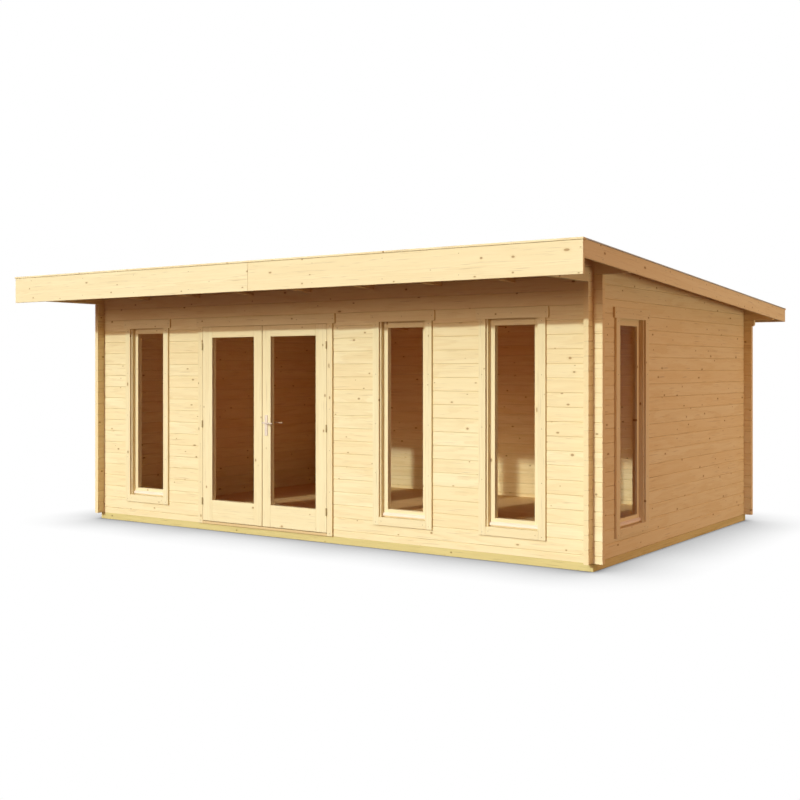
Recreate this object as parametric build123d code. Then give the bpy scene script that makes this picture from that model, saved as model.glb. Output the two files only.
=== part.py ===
from build123d import *
import math
import os

# Garden office cabin of interlocking machined logs under a shallow lean-to roof.
# Millimetres, +X right, +Y to the back, +Z up, origin on the ground under the middle of the roof.

# Log walls
WALL_WIDTH = 5798
WALL_DEPTH = 3475
WALL_FRONT_HEIGHT = 2412
LOG_THICKNESS = 44
LOG_HEIGHT = 115
LOG_PROJECTION = 80
GROOVE_DEPTH = 5
CORBEL_REACH = 26
CORBEL_HEIGHT = 62
CORBEL_ROUND_SHARE = 0.9

# Base
BEARER_HEIGHT = 65
BEARER_WIDTH = 70
JOIST_WIDTH = 45
JOIST_COUNT = 9
FLOOR_BOARD = 19

# Roof
ROOF_PITCH = 3.68
FRONT_OVERHANG = 791
REAR_OVERHANG = 309
SIDE_OVERHANG = 323
RAFTER_COUNT = 7
RAFTER_WIDTH = 45
RAFTER_DEPTH = 140
EAVES_LOG_DROP = 95
ROOF_BOARD = 19
FELT = 4
FASCIA_THICKNESS = 26
FASCIA_COVER = 8
BARGE_THICKNESS = 20
BARGE_DEPTH = 124
BARGE_RISE = 8
STRIP_THICKNESS = 16
STRIP_WIDTH = 46
STRIP_LIP = 6
SIDE_STRIP_THICKNESS = 8

# Windows: three in the front wall and one in the right wall
WINDOW_CENTRE_SHARES = (-0.3763, 0.1828, 0.3736)
SIDE_WINDOW_CENTRE = 695
WINDOW_WIDTH = 528
WINDOW_BOTTOM = 250
WALL_OVER_WINDOW = 380
CASING_THICKNESS = 30
CASING_DEPTH = 80
SASH_SETBACK = 36
SASH_THICKNESS = 40
SASH_STILE = 45
SASH_RAIL = 68
PANE_THICKNESS = 12
PANE_GRIP = 10
PANE_SETBACK = 18
TRIM_THICKNESS = 18
TRIM_WIDTH = 69
TRIM_LAP = 53
HEAD_TRIM_HEIGHT = 88
HEAD_TRIM_EAR = 27
SILL_TRIM_HEIGHT = 72
INNER_TRIM_WIDTH = 60

# Double door
DOOR_CENTRE_SHARE = -0.0993
LEAF_WIDTH = 785
WALL_OVER_LEAF = 432
LEAF_THICKNESS = 44
HINGE_STILE = 127
MEETING_STILE = 103
LEAF_TOP_RAIL = 101
LEAF_BOTTOM_RAIL = 204
LEAF_GAP = 6
MEETING_GAP = 8
THRESHOLD_HEIGHT = 22
JAMB_THICKNESS = 40
JAMB_STOP = 15
HEAD_LEAST = 40
DOOR_TRIM_WIDTH = 62

# Lift-off hinges, three to a leaf
HINGE_SHARES = (0.1, 0.5, 0.9)
KNUCKLE_RADIUS = 7
KNUCKLE_LENGTH = 34
PIN_RADIUS = 4
PIN_CLEARANCE = 0.3
PIN_TIP = 4
FLAP_THICKNESS = 2.5
FLAP_DEPTH = 36

# Lever handle on the right leaf
HANDLE_HEIGHT = 1045
HANDLE_SETBACK = 52
PLATE_WIDTH = 44
PLATE_HEIGHT = 195
PLATE_THICKNESS = 8
PLATE_CORNER = 10
LEVER_RISE = 25
LEVER_REACH = 118
LEVER_HEIGHT = 20
LEVER_THICKNESS = 13
LEVER_STANDOFF = 34
NECK_RADIUS = 9
NECK_CLEARANCE = 0.4
SPINDLE_RADIUS = 5
SPINDLE_CLEARANCE = 2

# Long enough to pass through any wall in a cut
OVERRUN = 400

# Places worked out from the sizes above
front_face = (FRONT_OVERHANG - WALL_DEPTH - REAR_OVERHANG) / 2
back_face = front_face + WALL_DEPTH
right_face = WALL_WIDTH / 2
roof_front = front_face - FRONT_OVERHANG
roof_back = back_face + REAR_OVERHANG
roof_side = right_face + SIDE_OVERHANG
roof_fall = math.tan(math.radians(ROOF_PITCH))
deck_drop = FELT + ROOF_BOARD
roof_top = WALL_FRONT_HEIGHT + deck_drop + roof_fall * FRONT_OVERHANG
side_first_joint = BEARER_HEIGHT
front_first_joint = BEARER_HEIGHT + LOG_HEIGHT / 2
floor_top = BEARER_HEIGHT + FLOOR_BOARD
room_side = right_face - LOG_THICKNESS


def roof_level(y, drop):
    """Height of the roof plane at a place from front to back, less a drop below its top."""
    return roof_top - drop - roof_fall * (y - roof_front)


def joint_below(level, first_joint):
    """Height of the last log joint at or below a level."""
    return first_joint + math.floor((level - first_joint) / LOG_HEIGHT) * LOG_HEIGHT


# The logs that run out past the corners to carry the eaves, and the log over the openings
front_long = joint_below(roof_level(front_face, deck_drop) - EAVES_LOG_DROP, front_first_joint)
back_long = joint_below(roof_level(back_face, deck_drop) - EAVES_LOG_DROP, front_first_joint)
side_long = front_long - LOG_HEIGHT / 2
leaf_bottom = BEARER_HEIGHT + THRESHOLD_HEIGHT + LEAF_GAP
leaf_top = WALL_FRONT_HEIGHT - WALL_OVER_LEAF
window_top = WALL_FRONT_HEIGHT - WALL_OVER_WINDOW
lintel = joint_below(leaf_top + LEAF_GAP + HEAD_LEAST, front_first_joint) + LOG_HEIGHT
fascia_bottom = side_long - FASCIA_COVER


def block(x_from, x_to, y_from, y_to, z_from, z_to):
    """A square-edged piece between two corners."""
    centre = Pos((x_from + x_to) / 2, (y_from + y_to) / 2, (z_from + z_to) / 2)
    return centre * Box(x_to - x_from, y_to - y_from, z_to - z_from)


def ring(width, z_from, z_to, stile, rail, y_from, y_to):
    """An upright frame of two stiles and two rails, standing about x = 0."""
    outer = block(-width / 2, width / 2, y_from, y_to, z_from, z_to)
    inner = width / 2 - stile
    return outer - block(-inner, inner, y_from - OVERRUN, y_to + OVERRUN, z_from + rail, z_to - rail)


def prism(outline, x_from, x_to):
    """A profile drawn in Y and Z, drawn out along X."""
    face = Plane.YZ * make_face(Polyline(*outline, close=True))
    return Pos(x_from, 0, 0) * extrude(face, amount=x_to - x_from, dir=(1, 0, 0))


def sloping(x_from, x_to, y_from, y_to, top_drop, bottom_drop):
    """A layer of the roof between two drops below its top, with plumb ends."""
    outline = [
        (y_from, roof_level(y_from, top_drop)),
        (y_to, roof_level(y_to, top_drop)),
        (y_to, roof_level(y_to, bottom_drop)),
        (y_from, roof_level(y_from, bottom_drop)),
    ]
    return prism(outline, x_from, x_to)


def joints_between(z_from, z_to, first_joint):
    """The log joints from one height to another, both ends included."""
    least = math.ceil((z_from - first_joint) / LOG_HEIGHT)
    most = math.floor((z_to - first_joint) / LOG_HEIGHT)
    return [first_joint + course * LOG_HEIGHT for course in range(least, most + 1)]


def log_stack(length, z_from, z_to, first_joint):
    """Logs laid one on the other along +X, with a V-groove at each joint on both faces."""
    outer = [(0, z_from)]
    for joint in joints_between(z_from, z_to, first_joint):
        below = (0, joint - GROOVE_DEPTH)
        above = (0, joint + GROOVE_DEPTH)
        if joint == z_from:
            outer = [(GROOVE_DEPTH, joint), above]
        elif joint == z_to:
            outer += [below, (GROOVE_DEPTH, joint)]
        else:
            outer += [below, (GROOVE_DEPTH, joint), above]
    if outer[-1][1] < z_to:
        outer.append((0, z_to))
    inner = [(LOG_THICKNESS - depth, level) for depth, level in reversed(outer)]
    return prism(outer + inner, 0, length)


def front_stack(y_face, reach, z_from, z_to):
    """Logs of the front or back wall, reaching as far each side of the middle."""
    return Pos(-reach, y_face, 0) * log_stack(2 * reach, z_from, z_to, front_first_joint)


def side_stack(x_inner_right, y_from, y_to, z_from, z_to):
    """Logs of a side wall; x is the face that looks to the right."""
    logs = log_stack(y_to - y_from, z_from, z_to, side_first_joint)
    return Pos(x_inner_right, y_from, 0) * Rot(0, 0, 90) * logs


def corner_notches(first_joint):
    """Blocks that clear the four corner crossings where the other wall's logs pass through."""
    blocks = []
    for x_from in (-right_face, room_side):
        for y_from in (front_face, back_face - LOG_THICKNESS):
            for joint in joints_between(0, roof_top, first_joint):
                notch = block(
                    x_from,
                    x_from + LOG_THICKNESS,
                    y_from,
                    y_from + LOG_THICKNESS,
                    joint - LOG_HEIGHT / 4,
                    joint + LOG_HEIGHT / 4,
                )
                blocks.append(notch)
    return blocks


def front_place(x_centre):
    """Where a piece drawn about x = 0, with y = 0 on the wall's face, stands in the front wall."""
    return Pos(x_centre, front_face, 0)


def right_place(y_centre):
    """The same for the right wall, turned so that +y still points into the room."""
    return Pos(right_face, front_face + y_centre, 0) * Rot(0, 0, 90)


window_places = [front_place(share * WALL_WIDTH) for share in WINDOW_CENTRE_SHARES]
window_places.append(right_place(SIDE_WINDOW_CENTRE))
door_centre = DOOR_CENTRE_SHARE * WALL_WIDTH
door_place = front_place(door_centre)
parts = {}

# Bearers on the ground, joists between them and the boarded floor inside the walls
long_bearer = block(-right_face, right_face, 0, BEARER_WIDTH, 0, BEARER_HEIGHT)
parts["long_bearers"] = [
    Pos(0, front_face, 0) * long_bearer,
    Pos(0, back_face - BEARER_WIDTH, 0) * long_bearer,
]
bearer_front = front_face + BEARER_WIDTH
bearer_back = back_face - BEARER_WIDTH
side_bearer = block(0, BEARER_WIDTH, bearer_front, bearer_back, 0, BEARER_HEIGHT)
parts["side_bearers"] = [
    Pos(-right_face, 0, 0) * side_bearer,
    Pos(right_face - BEARER_WIDTH, 0, 0) * side_bearer,
]
joist = block(-JOIST_WIDTH / 2, JOIST_WIDTH / 2, bearer_front, bearer_back, 0, BEARER_HEIGHT)
joist_pitch = WALL_WIDTH / (JOIST_COUNT + 1)
parts["floor_joists"] = [
    Pos(-right_face + joist_pitch * (number + 1), 0, 0) * joist for number in range(JOIST_COUNT)
]
parts["floor_boards"] = [
    block(
        -room_side,
        room_side,
        front_face + LOG_THICKNESS,
        back_face - LOG_THICKNESS,
        BEARER_HEIGHT,
        floor_top,
    )
]

# Rafters from fascia to fascia, let into the tops of the front and back walls
fascia_inner = roof_front + FASCIA_THICKNESS
back_fascia_inner = roof_back - BARGE_THICKNESS
barge_inner = roof_side - BARGE_THICKNESS
rafter_pitch = WALL_WIDTH / (RAFTER_COUNT + 1)
rafter = sloping(
    -RAFTER_WIDTH / 2,
    RAFTER_WIDTH / 2,
    fascia_inner,
    back_fascia_inner,
    deck_drop,
    deck_drop + RAFTER_DEPTH,
)
rafters = [
    Pos(-right_face + rafter_pitch * (number + 1), 0, 0) * rafter for number in range(RAFTER_COUNT)
]
parts["rafters"] = rafters

# Everything above the underside of the roof boards, to trim the tops of the walls
above_deck = sloping(
    -roof_side - OVERRUN, roof_side + OVERRUN, roof_front - OVERRUN, roof_back + OVERRUN, -OVERRUN, deck_drop
)

# Openings through the walls
window_hole = block(-WINDOW_WIDTH / 2, WINDOW_WIDTH / 2, -OVERRUN, OVERRUN / 2, WINDOW_BOTTOM, window_top)
window_holes = [place * window_hole for place in window_places]
door_clear = LEAF_WIDTH + MEETING_GAP / 2 + LEAF_GAP
door_hole_side = door_clear + JAMB_THICKNESS
door_hole = door_place * block(-door_hole_side, door_hole_side, -OVERRUN, OVERRUN, 0, lintel)

# Log walls, half-lapped where they cross at the corners
front_notches = corner_notches(front_first_joint)
side_notches = corner_notches(side_first_joint)
reach = right_face + LOG_PROJECTION
front_low = front_stack(front_face, reach, BEARER_HEIGHT, lintel)
front_low = front_low - front_notches - window_holes - door_hole
door_x_from = door_centre - door_hole_side
door_x_to = door_centre + door_hole_side
left_half = block(-roof_side, door_x_from, front_face - OVERRUN, front_face + OVERRUN, 0, roof_top)
right_half = block(door_x_to, roof_side, front_face - OVERRUN, front_face + OVERRUN, 0, roof_top)
parts["front_wall_left"] = [front_low & left_half]
parts["front_wall_right"] = [front_low & right_half]
front_high = front_stack(front_face, reach, lintel, front_long)
front_high += front_stack(front_face, barge_inner, front_long, roof_top)
parts["front_wall_top"] = [front_high - front_notches - window_holes - above_deck - rafters]

back_y = back_face - LOG_THICKNESS
back_logs = front_stack(back_y, reach, BEARER_HEIGHT, back_long)
back_logs += front_stack(back_y, barge_inner, back_long, roof_top)
corbel = block(0, CORBEL_REACH, back_y, back_face, back_long - CORBEL_HEIGHT, back_long)
corbel_edge = corbel.edges().filter_by(Axis.Y).sort_by(Axis.X)[-2:].sort_by(Axis.Z)[0]
corbel = Pos(reach, 0, 0) * fillet(corbel_edge, CORBEL_REACH * CORBEL_ROUND_SHARE)
back_logs += [corbel, mirror(corbel, Plane.YZ)]
parts["back_wall"] = [back_logs - front_notches - above_deck - rafters]

side_front = front_face - LOG_PROJECTION
side_back = back_face + LOG_PROJECTION
for name, x_right in (("left", -room_side), ("right", right_face)):
    low = side_stack(x_right, side_front, side_back, BEARER_HEIGHT, side_long)
    high = side_stack(x_right, fascia_inner, side_back, side_long, roof_top)
    parts[name + "_wall"] = [low - side_notches - window_holes - above_deck]
    parts[name + "_wall_top"] = [high - side_notches - window_holes - above_deck]

# Roof boards and felt, with fascias and bargeboards round their edges
parts["roof_boards"] = [sloping(-barge_inner, barge_inner, fascia_inner, back_fascia_inner, FELT, deck_drop)]
parts["roof_felt"] = [sloping(-barge_inner, barge_inner, fascia_inner, back_fascia_inner, 0, FELT)]
fascia_outline = [
    (roof_front, roof_level(roof_front, 0)),
    (fascia_inner, roof_level(fascia_inner, 0)),
    (fascia_inner, fascia_bottom),
    (roof_front, fascia_bottom),
]
parts["front_fascia_left"] = [prism(fascia_outline, -roof_side, 0)]
parts["front_fascia_right"] = [prism(fascia_outline, 0, roof_side)]
strip_side = roof_side + STRIP_LIP
strip_front = roof_front - STRIP_LIP
strip_back = roof_back + STRIP_LIP
front_strip = sloping(-strip_side, strip_side, strip_front, strip_front + STRIP_WIDTH, -STRIP_THICKNESS, 0)
back_strip = sloping(-strip_side, strip_side, strip_back - STRIP_WIDTH, strip_back, -STRIP_THICKNESS, 0)
barge = sloping(0, BARGE_THICKNESS, fascia_inner, roof_back, -BARGE_RISE, BARGE_DEPTH)
parts["left_bargeboard"] = [Pos(-roof_side, 0, 0) * barge - front_strip - back_strip]
parts["right_bargeboard"] = [Pos(barge_inner, 0, 0) * barge - front_strip - back_strip]
parts["back_fascia"] = [sloping(-barge_inner, barge_inner, back_fascia_inner, roof_back, 0, BARGE_DEPTH)]
parts["front_edge_strip"] = [front_strip]
parts["back_edge_strip"] = [back_strip]
side_strip = sloping(
    0,
    STRIP_WIDTH,
    strip_front + STRIP_WIDTH,
    strip_back - STRIP_WIDTH,
    -BARGE_RISE - SIDE_STRIP_THICKNESS,
    -BARGE_RISE,
)
parts["side_edge_strips"] = [
    Pos(-strip_side, 0, 0) * side_strip,
    Pos(strip_side - STRIP_WIDTH, 0, 0) * side_strip,
]

# Windows: a casing through the wall, a set-back sash, its pane, and trim boards on both faces
casing = ring(WINDOW_WIDTH, WINDOW_BOTTOM, window_top, CASING_THICKNESS, CASING_THICKNESS, 0, CASING_DEPTH)
sash_width = WINDOW_WIDTH - 2 * CASING_THICKNESS
sash_bottom = WINDOW_BOTTOM + CASING_THICKNESS
sash_top = window_top - CASING_THICKNESS
sash_back = SASH_SETBACK + SASH_THICKNESS
pane_half = sash_width / 2 - SASH_STILE + PANE_GRIP
pane_front = SASH_SETBACK + PANE_SETBACK
pane = block(
    -pane_half,
    pane_half,
    pane_front,
    pane_front + PANE_THICKNESS,
    sash_bottom + SASH_RAIL - PANE_GRIP,
    sash_top - SASH_RAIL + PANE_GRIP,
)
sash = ring(sash_width, sash_bottom, sash_top, SASH_STILE, SASH_RAIL, SASH_SETBACK, sash_back) - pane
trim_side = WINDOW_WIDTH / 2 + TRIM_LAP
trim_inner = trim_side - TRIM_WIDTH
casing_lap = TRIM_WIDTH - TRIM_LAP
head_trim_bottom = window_top - casing_lap - CASING_THICKNESS
sill_trim_top = WINDOW_BOTTOM + casing_lap + CASING_THICKNESS / 2
sill_trim_bottom = sill_trim_top - SILL_TRIM_HEIGHT
side_trim = block(
    trim_inner, trim_side, -TRIM_THICKNESS, 0, sill_trim_bottom, head_trim_bottom
)
head_trim = block(
    -trim_side - HEAD_TRIM_EAR,
    trim_side + HEAD_TRIM_EAR,
    -TRIM_THICKNESS,
    0,
    head_trim_bottom,
    head_trim_bottom + HEAD_TRIM_HEIGHT,
)
sill_trim = block(-trim_inner, trim_inner, -TRIM_THICKNESS, 0, sill_trim_bottom, sill_trim_top)
inner_face = LOG_THICKNESS + TRIM_THICKNESS
inner_edge = WINDOW_WIDTH / 2
inner_side_trim = block(
    inner_edge, inner_edge + INNER_TRIM_WIDTH, LOG_THICKNESS, inner_face, WINDOW_BOTTOM, window_top
)
inner_reach = inner_edge + INNER_TRIM_WIDTH
inner_cross_trim = block(-inner_reach, inner_reach, LOG_THICKNESS, inner_face, 0, INNER_TRIM_WIDTH)
window_pieces = {
    "window_casings": [casing],
    "window_sashes": [sash],
    "window_panes": [pane],
    "window_side_trims": [
        side_trim,
        mirror(side_trim, Plane.YZ),
        inner_side_trim,
        mirror(inner_side_trim, Plane.YZ),
    ],
    "window_head_trims": [head_trim, Pos(0, 0, window_top) * inner_cross_trim],
    "window_sill_trims": [sill_trim, Pos(0, 0, WINDOW_BOTTOM - INNER_TRIM_WIDTH) * inner_cross_trim],
}
for name, pieces in window_pieces.items():
    parts[name] = [place * piece for place in window_places for piece in pieces]

# Door frame: rebated jambs on the bearer, a head under the lintel log, a threshold and trim boards
leaf_front = -TRIM_THICKNESS
leaf_back = leaf_front + LEAF_THICKNESS
stop_front = leaf_back + LEAF_GAP
head_bottom = leaf_top + LEAF_GAP
jamb_plan = [
    (door_clear, 0),
    (door_hole_side, 0),
    (door_hole_side, LOG_THICKNESS),
    (door_clear - JAMB_STOP, LOG_THICKNESS),
    (door_clear - JAMB_STOP, stop_front),
    (door_clear, stop_front),
]
jamb_face = make_face(Polyline(*jamb_plan, close=True))
jamb_rise = extrude(jamb_face, amount=head_bottom - BEARER_HEIGHT, dir=(0, 0, 1))
jamb = Pos(0, 0, BEARER_HEIGHT) * jamb_rise
parts["door_jambs"] = [door_place * jamb, door_place * mirror(jamb, Plane.YZ)]
head = block(-door_hole_side, door_hole_side, 0, LOG_THICKNESS, head_bottom, lintel)
head_stop_side = door_clear - JAMB_STOP
head += block(
    -head_stop_side, head_stop_side, stop_front, LOG_THICKNESS, head_bottom - JAMB_STOP, head_bottom
)
parts["door_head"] = [door_place * head]
threshold_top = BEARER_HEIGHT + THRESHOLD_HEIGHT
threshold = block(-door_clear, door_clear, -TRIM_THICKNESS, LOG_THICKNESS, BEARER_HEIGHT, threshold_top)
parts["door_threshold"] = [door_place * (threshold - jamb - mirror(jamb, Plane.YZ))]

# Where the hinge pins stand, just clear of the leaves' faces over the gap beside the jamb
pin_x = door_clear - LEAF_GAP / 2
pin_y = leaf_front - KNUCKLE_RADIUS
hinge_levels = [leaf_bottom + share * (leaf_top - leaf_bottom) for share in HINGE_SHARES]


def knuckle(flap_from, with_pin):
    """Half of a lift-off hinge about its pin: the lower half holds the pin, the upper is bored."""
    barrel = extrude(Circle(KNUCKLE_RADIUS), amount=KNUCKLE_LENGTH)
    body = barrel + block(flap_from, flap_from + FLAP_THICKNESS, 0, FLAP_DEPTH, 0, KNUCKLE_LENGTH)
    if with_pin:
        pin = extrude(Circle(PIN_RADIUS), amount=KNUCKLE_LENGTH - PIN_TIP)
        return body + Pos(0, 0, KNUCKLE_LENGTH) * pin
    return body - extrude(Circle(PIN_RADIUS + PIN_CLEARANCE), amount=KNUCKLE_LENGTH - PIN_TIP / 2)


def hinge_set(side):
    """The lower and upper knuckles of one leaf's hinges; side is 1 on the right and -1 on the left."""
    right_flap = LEAF_GAP / 2 - FLAP_THICKNESS
    left_flap = -LEAF_GAP / 2
    lower = knuckle(right_flap if side > 0 else left_flap, True)
    upper = knuckle(left_flap if side > 0 else right_flap, False)
    lowers = [Pos(side * pin_x, pin_y, level - KNUCKLE_LENGTH) * lower for level in hinge_levels]
    uppers = [Pos(side * pin_x, pin_y, level + PIN_CLEARANCE) * upper for level in hinge_levels]
    return lowers, uppers


right_lowers, right_uppers = hinge_set(1)
left_lowers, left_uppers = hinge_set(-1)
parts["hinge_pins"] = [door_place * half for half in right_lowers + left_lowers]
parts["right_hinge_knuckles"] = [door_place * half for half in right_uppers]
parts["left_hinge_knuckles"] = [door_place * half for half in left_uppers]

# Trim boards that cover the joint between the door frame and the logs
door_trim_side = door_clear + DOOR_TRIM_WIDTH
door_side_trim = block(door_clear, door_trim_side, -TRIM_THICKNESS, 0, BEARER_HEIGHT, head_bottom)
door_inner_trim = block(
    door_hole_side, door_hole_side + INNER_TRIM_WIDTH, LOG_THICKNESS, inner_face, floor_top, lintel
)
door_side_trims = [door_side_trim, door_inner_trim]
door_side_trims += [mirror(board, Plane.YZ) for board in door_side_trims]
parts["door_side_trims"] = [door_place * board for board in door_side_trims]
door_ear = door_trim_side + HEAD_TRIM_EAR
door_head_trim = block(
    -door_ear, door_ear, -TRIM_THICKNESS, 0, head_bottom, head_bottom + HEAD_TRIM_HEIGHT
)
door_inner_reach = door_hole_side + INNER_TRIM_WIDTH
door_inner_head = block(
    -door_inner_reach, door_inner_reach, LOG_THICKNESS, inner_face, lintel, lintel + INNER_TRIM_WIDTH
)
parts["door_head_trim"] = [door_place * door_head_trim, door_place * door_inner_head]

# Glazed leaves: stiles and rails round one pane
leaf_from = MEETING_GAP / 2
leaf_to = leaf_from + LEAF_WIDTH
glass_from = leaf_from + MEETING_STILE
glass_to = leaf_to - HINGE_STILE
glass_bottom = leaf_bottom + LEAF_BOTTOM_RAIL
glass_top = leaf_top - LEAF_TOP_RAIL
leaf_pane = block(
    glass_from - PANE_GRIP,
    glass_to + PANE_GRIP,
    leaf_front + PANE_SETBACK,
    leaf_front + PANE_SETBACK + PANE_THICKNESS,
    glass_bottom - PANE_GRIP,
    glass_top + PANE_GRIP,
)
leaf = block(leaf_from, leaf_to, leaf_front, leaf_back, leaf_bottom, leaf_top)
leaf = leaf - block(glass_from, glass_to, -OVERRUN, OVERRUN, glass_bottom, glass_top)
leaf = leaf - leaf_pane
parts["left_leaf"] = [door_place * mirror(leaf, Plane.YZ)]
parts["left_leaf_glass"] = [door_place * mirror(leaf_pane, Plane.YZ)]
parts["right_leaf_glass"] = [door_place * leaf_pane]

# Lever handle: long plates on both faces and one lever inside and out on a common spindle
handle_x = leaf_from + HANDLE_SETBACK
handle_place = Pos(handle_x, 0, HANDLE_HEIGHT) * Rot(-90, 0, 0)
lever_place = Pos(handle_x, 0, HANDLE_HEIGHT + LEVER_RISE) * Rot(-90, 0, 0)
leaf_middle = (leaf_front + leaf_back) / 2


def rod_through(radius, half_length):
    """A round bar through the leaf on the spindle's axis."""
    bar = extrude(Circle(radius), amount=half_length, both=True)
    return lever_place * Pos(0, 0, leaf_middle) * bar


plate_face = RectangleRounded(PLATE_WIDTH, PLATE_HEIGHT, PLATE_CORNER)
plate = extrude(plate_face, amount=PLATE_THICKNESS)
neck_bore = rod_through(NECK_RADIUS + NECK_CLEARANCE, OVERRUN)
outer_plate = handle_place * Pos(0, 0, leaf_front - PLATE_THICKNESS) * plate - neck_bore
inner_plate = handle_place * Pos(0, 0, leaf_back) * plate - neck_bore
parts["handle_plates"] = [door_place * outer_plate, door_place * inner_plate]
spindle_bore = rod_through(SPINDLE_RADIUS + SPINDLE_CLEARANCE, OVERRUN)
parts["right_leaf"] = [door_place * (leaf - spindle_bore)]

lever_near = LEAF_THICKNESS / 2 + PLATE_THICKNESS + LEVER_STANDOFF
grip_face = SlotOverall(LEVER_REACH + LEVER_HEIGHT / 2, LEVER_HEIGHT)
grip_shift = LEVER_REACH / 2 - LEVER_HEIGHT / 4
grip = Pos(grip_shift, 0, lever_near) * extrude(grip_face, amount=LEVER_THICKNESS)
neck = Pos(0, 0, LEAF_THICKNESS / 2) * extrude(
    Circle(NECK_RADIUS), amount=PLATE_THICKNESS + LEVER_STANDOFF
)
half_lever = grip + neck
lever = half_lever + mirror(half_lever, Plane.XY)
lever += extrude(Circle(SPINDLE_RADIUS), amount=LEAF_THICKNESS, both=True)
parts["handle_lever"] = [door_place * lever_place * Pos(0, 0, leaf_middle) * lever]

# One file for each named piece
os.makedirs("parts", exist_ok=True)
for name, pieces in parts.items():
    solids = [solid for piece in pieces for solid in piece.solids()]
    shape = solids[0] if len(solids) == 1 else Compound(solids)
    export_step(shape, "parts/" + name + ".step")
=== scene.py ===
import math
import random

import bmesh
import bpy
from mathutils import Matrix, Vector


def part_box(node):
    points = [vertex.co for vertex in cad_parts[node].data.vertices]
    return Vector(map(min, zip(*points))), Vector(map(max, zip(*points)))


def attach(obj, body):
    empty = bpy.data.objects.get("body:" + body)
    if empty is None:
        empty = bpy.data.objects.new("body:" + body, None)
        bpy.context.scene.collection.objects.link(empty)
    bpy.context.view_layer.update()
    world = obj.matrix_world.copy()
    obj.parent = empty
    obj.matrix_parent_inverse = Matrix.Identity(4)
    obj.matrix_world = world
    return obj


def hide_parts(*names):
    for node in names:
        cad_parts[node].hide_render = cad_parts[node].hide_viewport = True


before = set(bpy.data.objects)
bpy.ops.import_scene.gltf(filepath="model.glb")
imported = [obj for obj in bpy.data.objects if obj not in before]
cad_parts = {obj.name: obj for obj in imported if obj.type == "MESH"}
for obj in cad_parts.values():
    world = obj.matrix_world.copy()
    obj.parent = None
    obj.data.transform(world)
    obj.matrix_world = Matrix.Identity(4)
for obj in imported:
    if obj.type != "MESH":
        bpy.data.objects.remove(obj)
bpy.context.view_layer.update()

# Bearers and floor joists
# Pressure treated softwood, sawn square and laid flat on the ground. The long bearers carry the
# front and back walls, the short ones and the joists are butted between them and skew nailed.


def linear(red, green, blue):
    """A colour written from 0 to 255 as the eye sees it, given back as linear light."""
    shares = [value / 255 for value in (red, green, blue)]
    steps = [s / 12.92 if s <= 0.04045 else ((s + 0.055) / 1.055) ** 2.4 for s in shares]
    return (*steps, 1.0)


class Wire:
    """One output in a node tree. Sums on it add Math nodes, and make adds any other node."""

    def __init__(self, tree, output):
        self.tree = tree
        self.output = output

    def make(self, kind, sockets, give=0, **settings):
        """Add a node with its settings, then the values or links of its sockets."""
        node = self.tree.nodes.new(kind)
        for name, value in settings.items():
            setattr(node, name, value)
        for name, value in sockets.items():
            if isinstance(value, Wire):
                self.tree.links.new(value.output, node.inputs[name])
            else:
                node.inputs[name].default_value = value
        return Wire(self.tree, node.outputs[give])

    def maths(self, operation, first, second=0.0):
        return self.make("ShaderNodeMath", {0: first, 1: second}, operation=operation)

    def __add__(self, other):
        return self.maths("ADD", self, other)

    __radd__ = __add__

    def __sub__(self, other):
        return self.maths("SUBTRACT", self, other)

    def __rsub__(self, other):
        return self.maths("SUBTRACT", other, self)

    def __mul__(self, other):
        return self.maths("MULTIPLY", self, other)

    __rmul__ = __mul__

    def __truediv__(self, other):
        return self.maths("DIVIDE", self, other)

    def __gt__(self, other):
        return self.maths("GREATER_THAN", self, other)

    def __abs__(self):
        return self.maths("ABSOLUTE", self)

    def floor(self):
        return self.maths("FLOOR", self)

    def fraction(self):
        return self.maths("FRACT", self)

    def root(self):
        return self.maths("SQRT", self)

    def smooth(self, low, high):
        """0 below low, 1 above high, eased between them."""
        limits = {"Value": self, "From Min": low, "From Max": high}
        return self.make("ShaderNodeMapRange", limits, interpolation_type="SMOOTHSTEP")

    def parts(self):
        """The three numbers of a vector."""
        node = self.make("ShaderNodeSeparateXYZ", {"Vector": self}).output.node
        return [Wire(self.tree, output) for output in node.outputs]

    def vector(self, x, y, z):
        return self.make("ShaderNodeCombineXYZ", {"X": x, "Y": y, "Z": z})

    def noise(self, place, detail=2.0, roughness=0.5):
        sockets = {"Vector": place, "Scale": 1.0, "Detail": detail, "Roughness": roughness}
        return self.make("ShaderNodeTexNoise", sockets)

    def mix(self, share, first, second):
        """One colour over another by a share from 0 to 1. A Mix node's colours are its sockets 6 and 7,
        and its output 2."""
        sockets = {0: share, 6: first, 7: second}
        return self.make("ShaderNodeMix", sockets, 2, data_type="RGBA", clamp_factor=True)


def new_material(name):
    """An empty material: its principled shader and a wire to start from."""
    material = bpy.data.materials.new(name)
    material.use_nodes = True
    shader = material.node_tree.nodes["Principled BSDF"]
    return material, shader, Wire(material.node_tree, shader.outputs[0])


def join(wire, shader, socket):
    wire.tree.links.new(wire.output, shader.inputs[socket])


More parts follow.
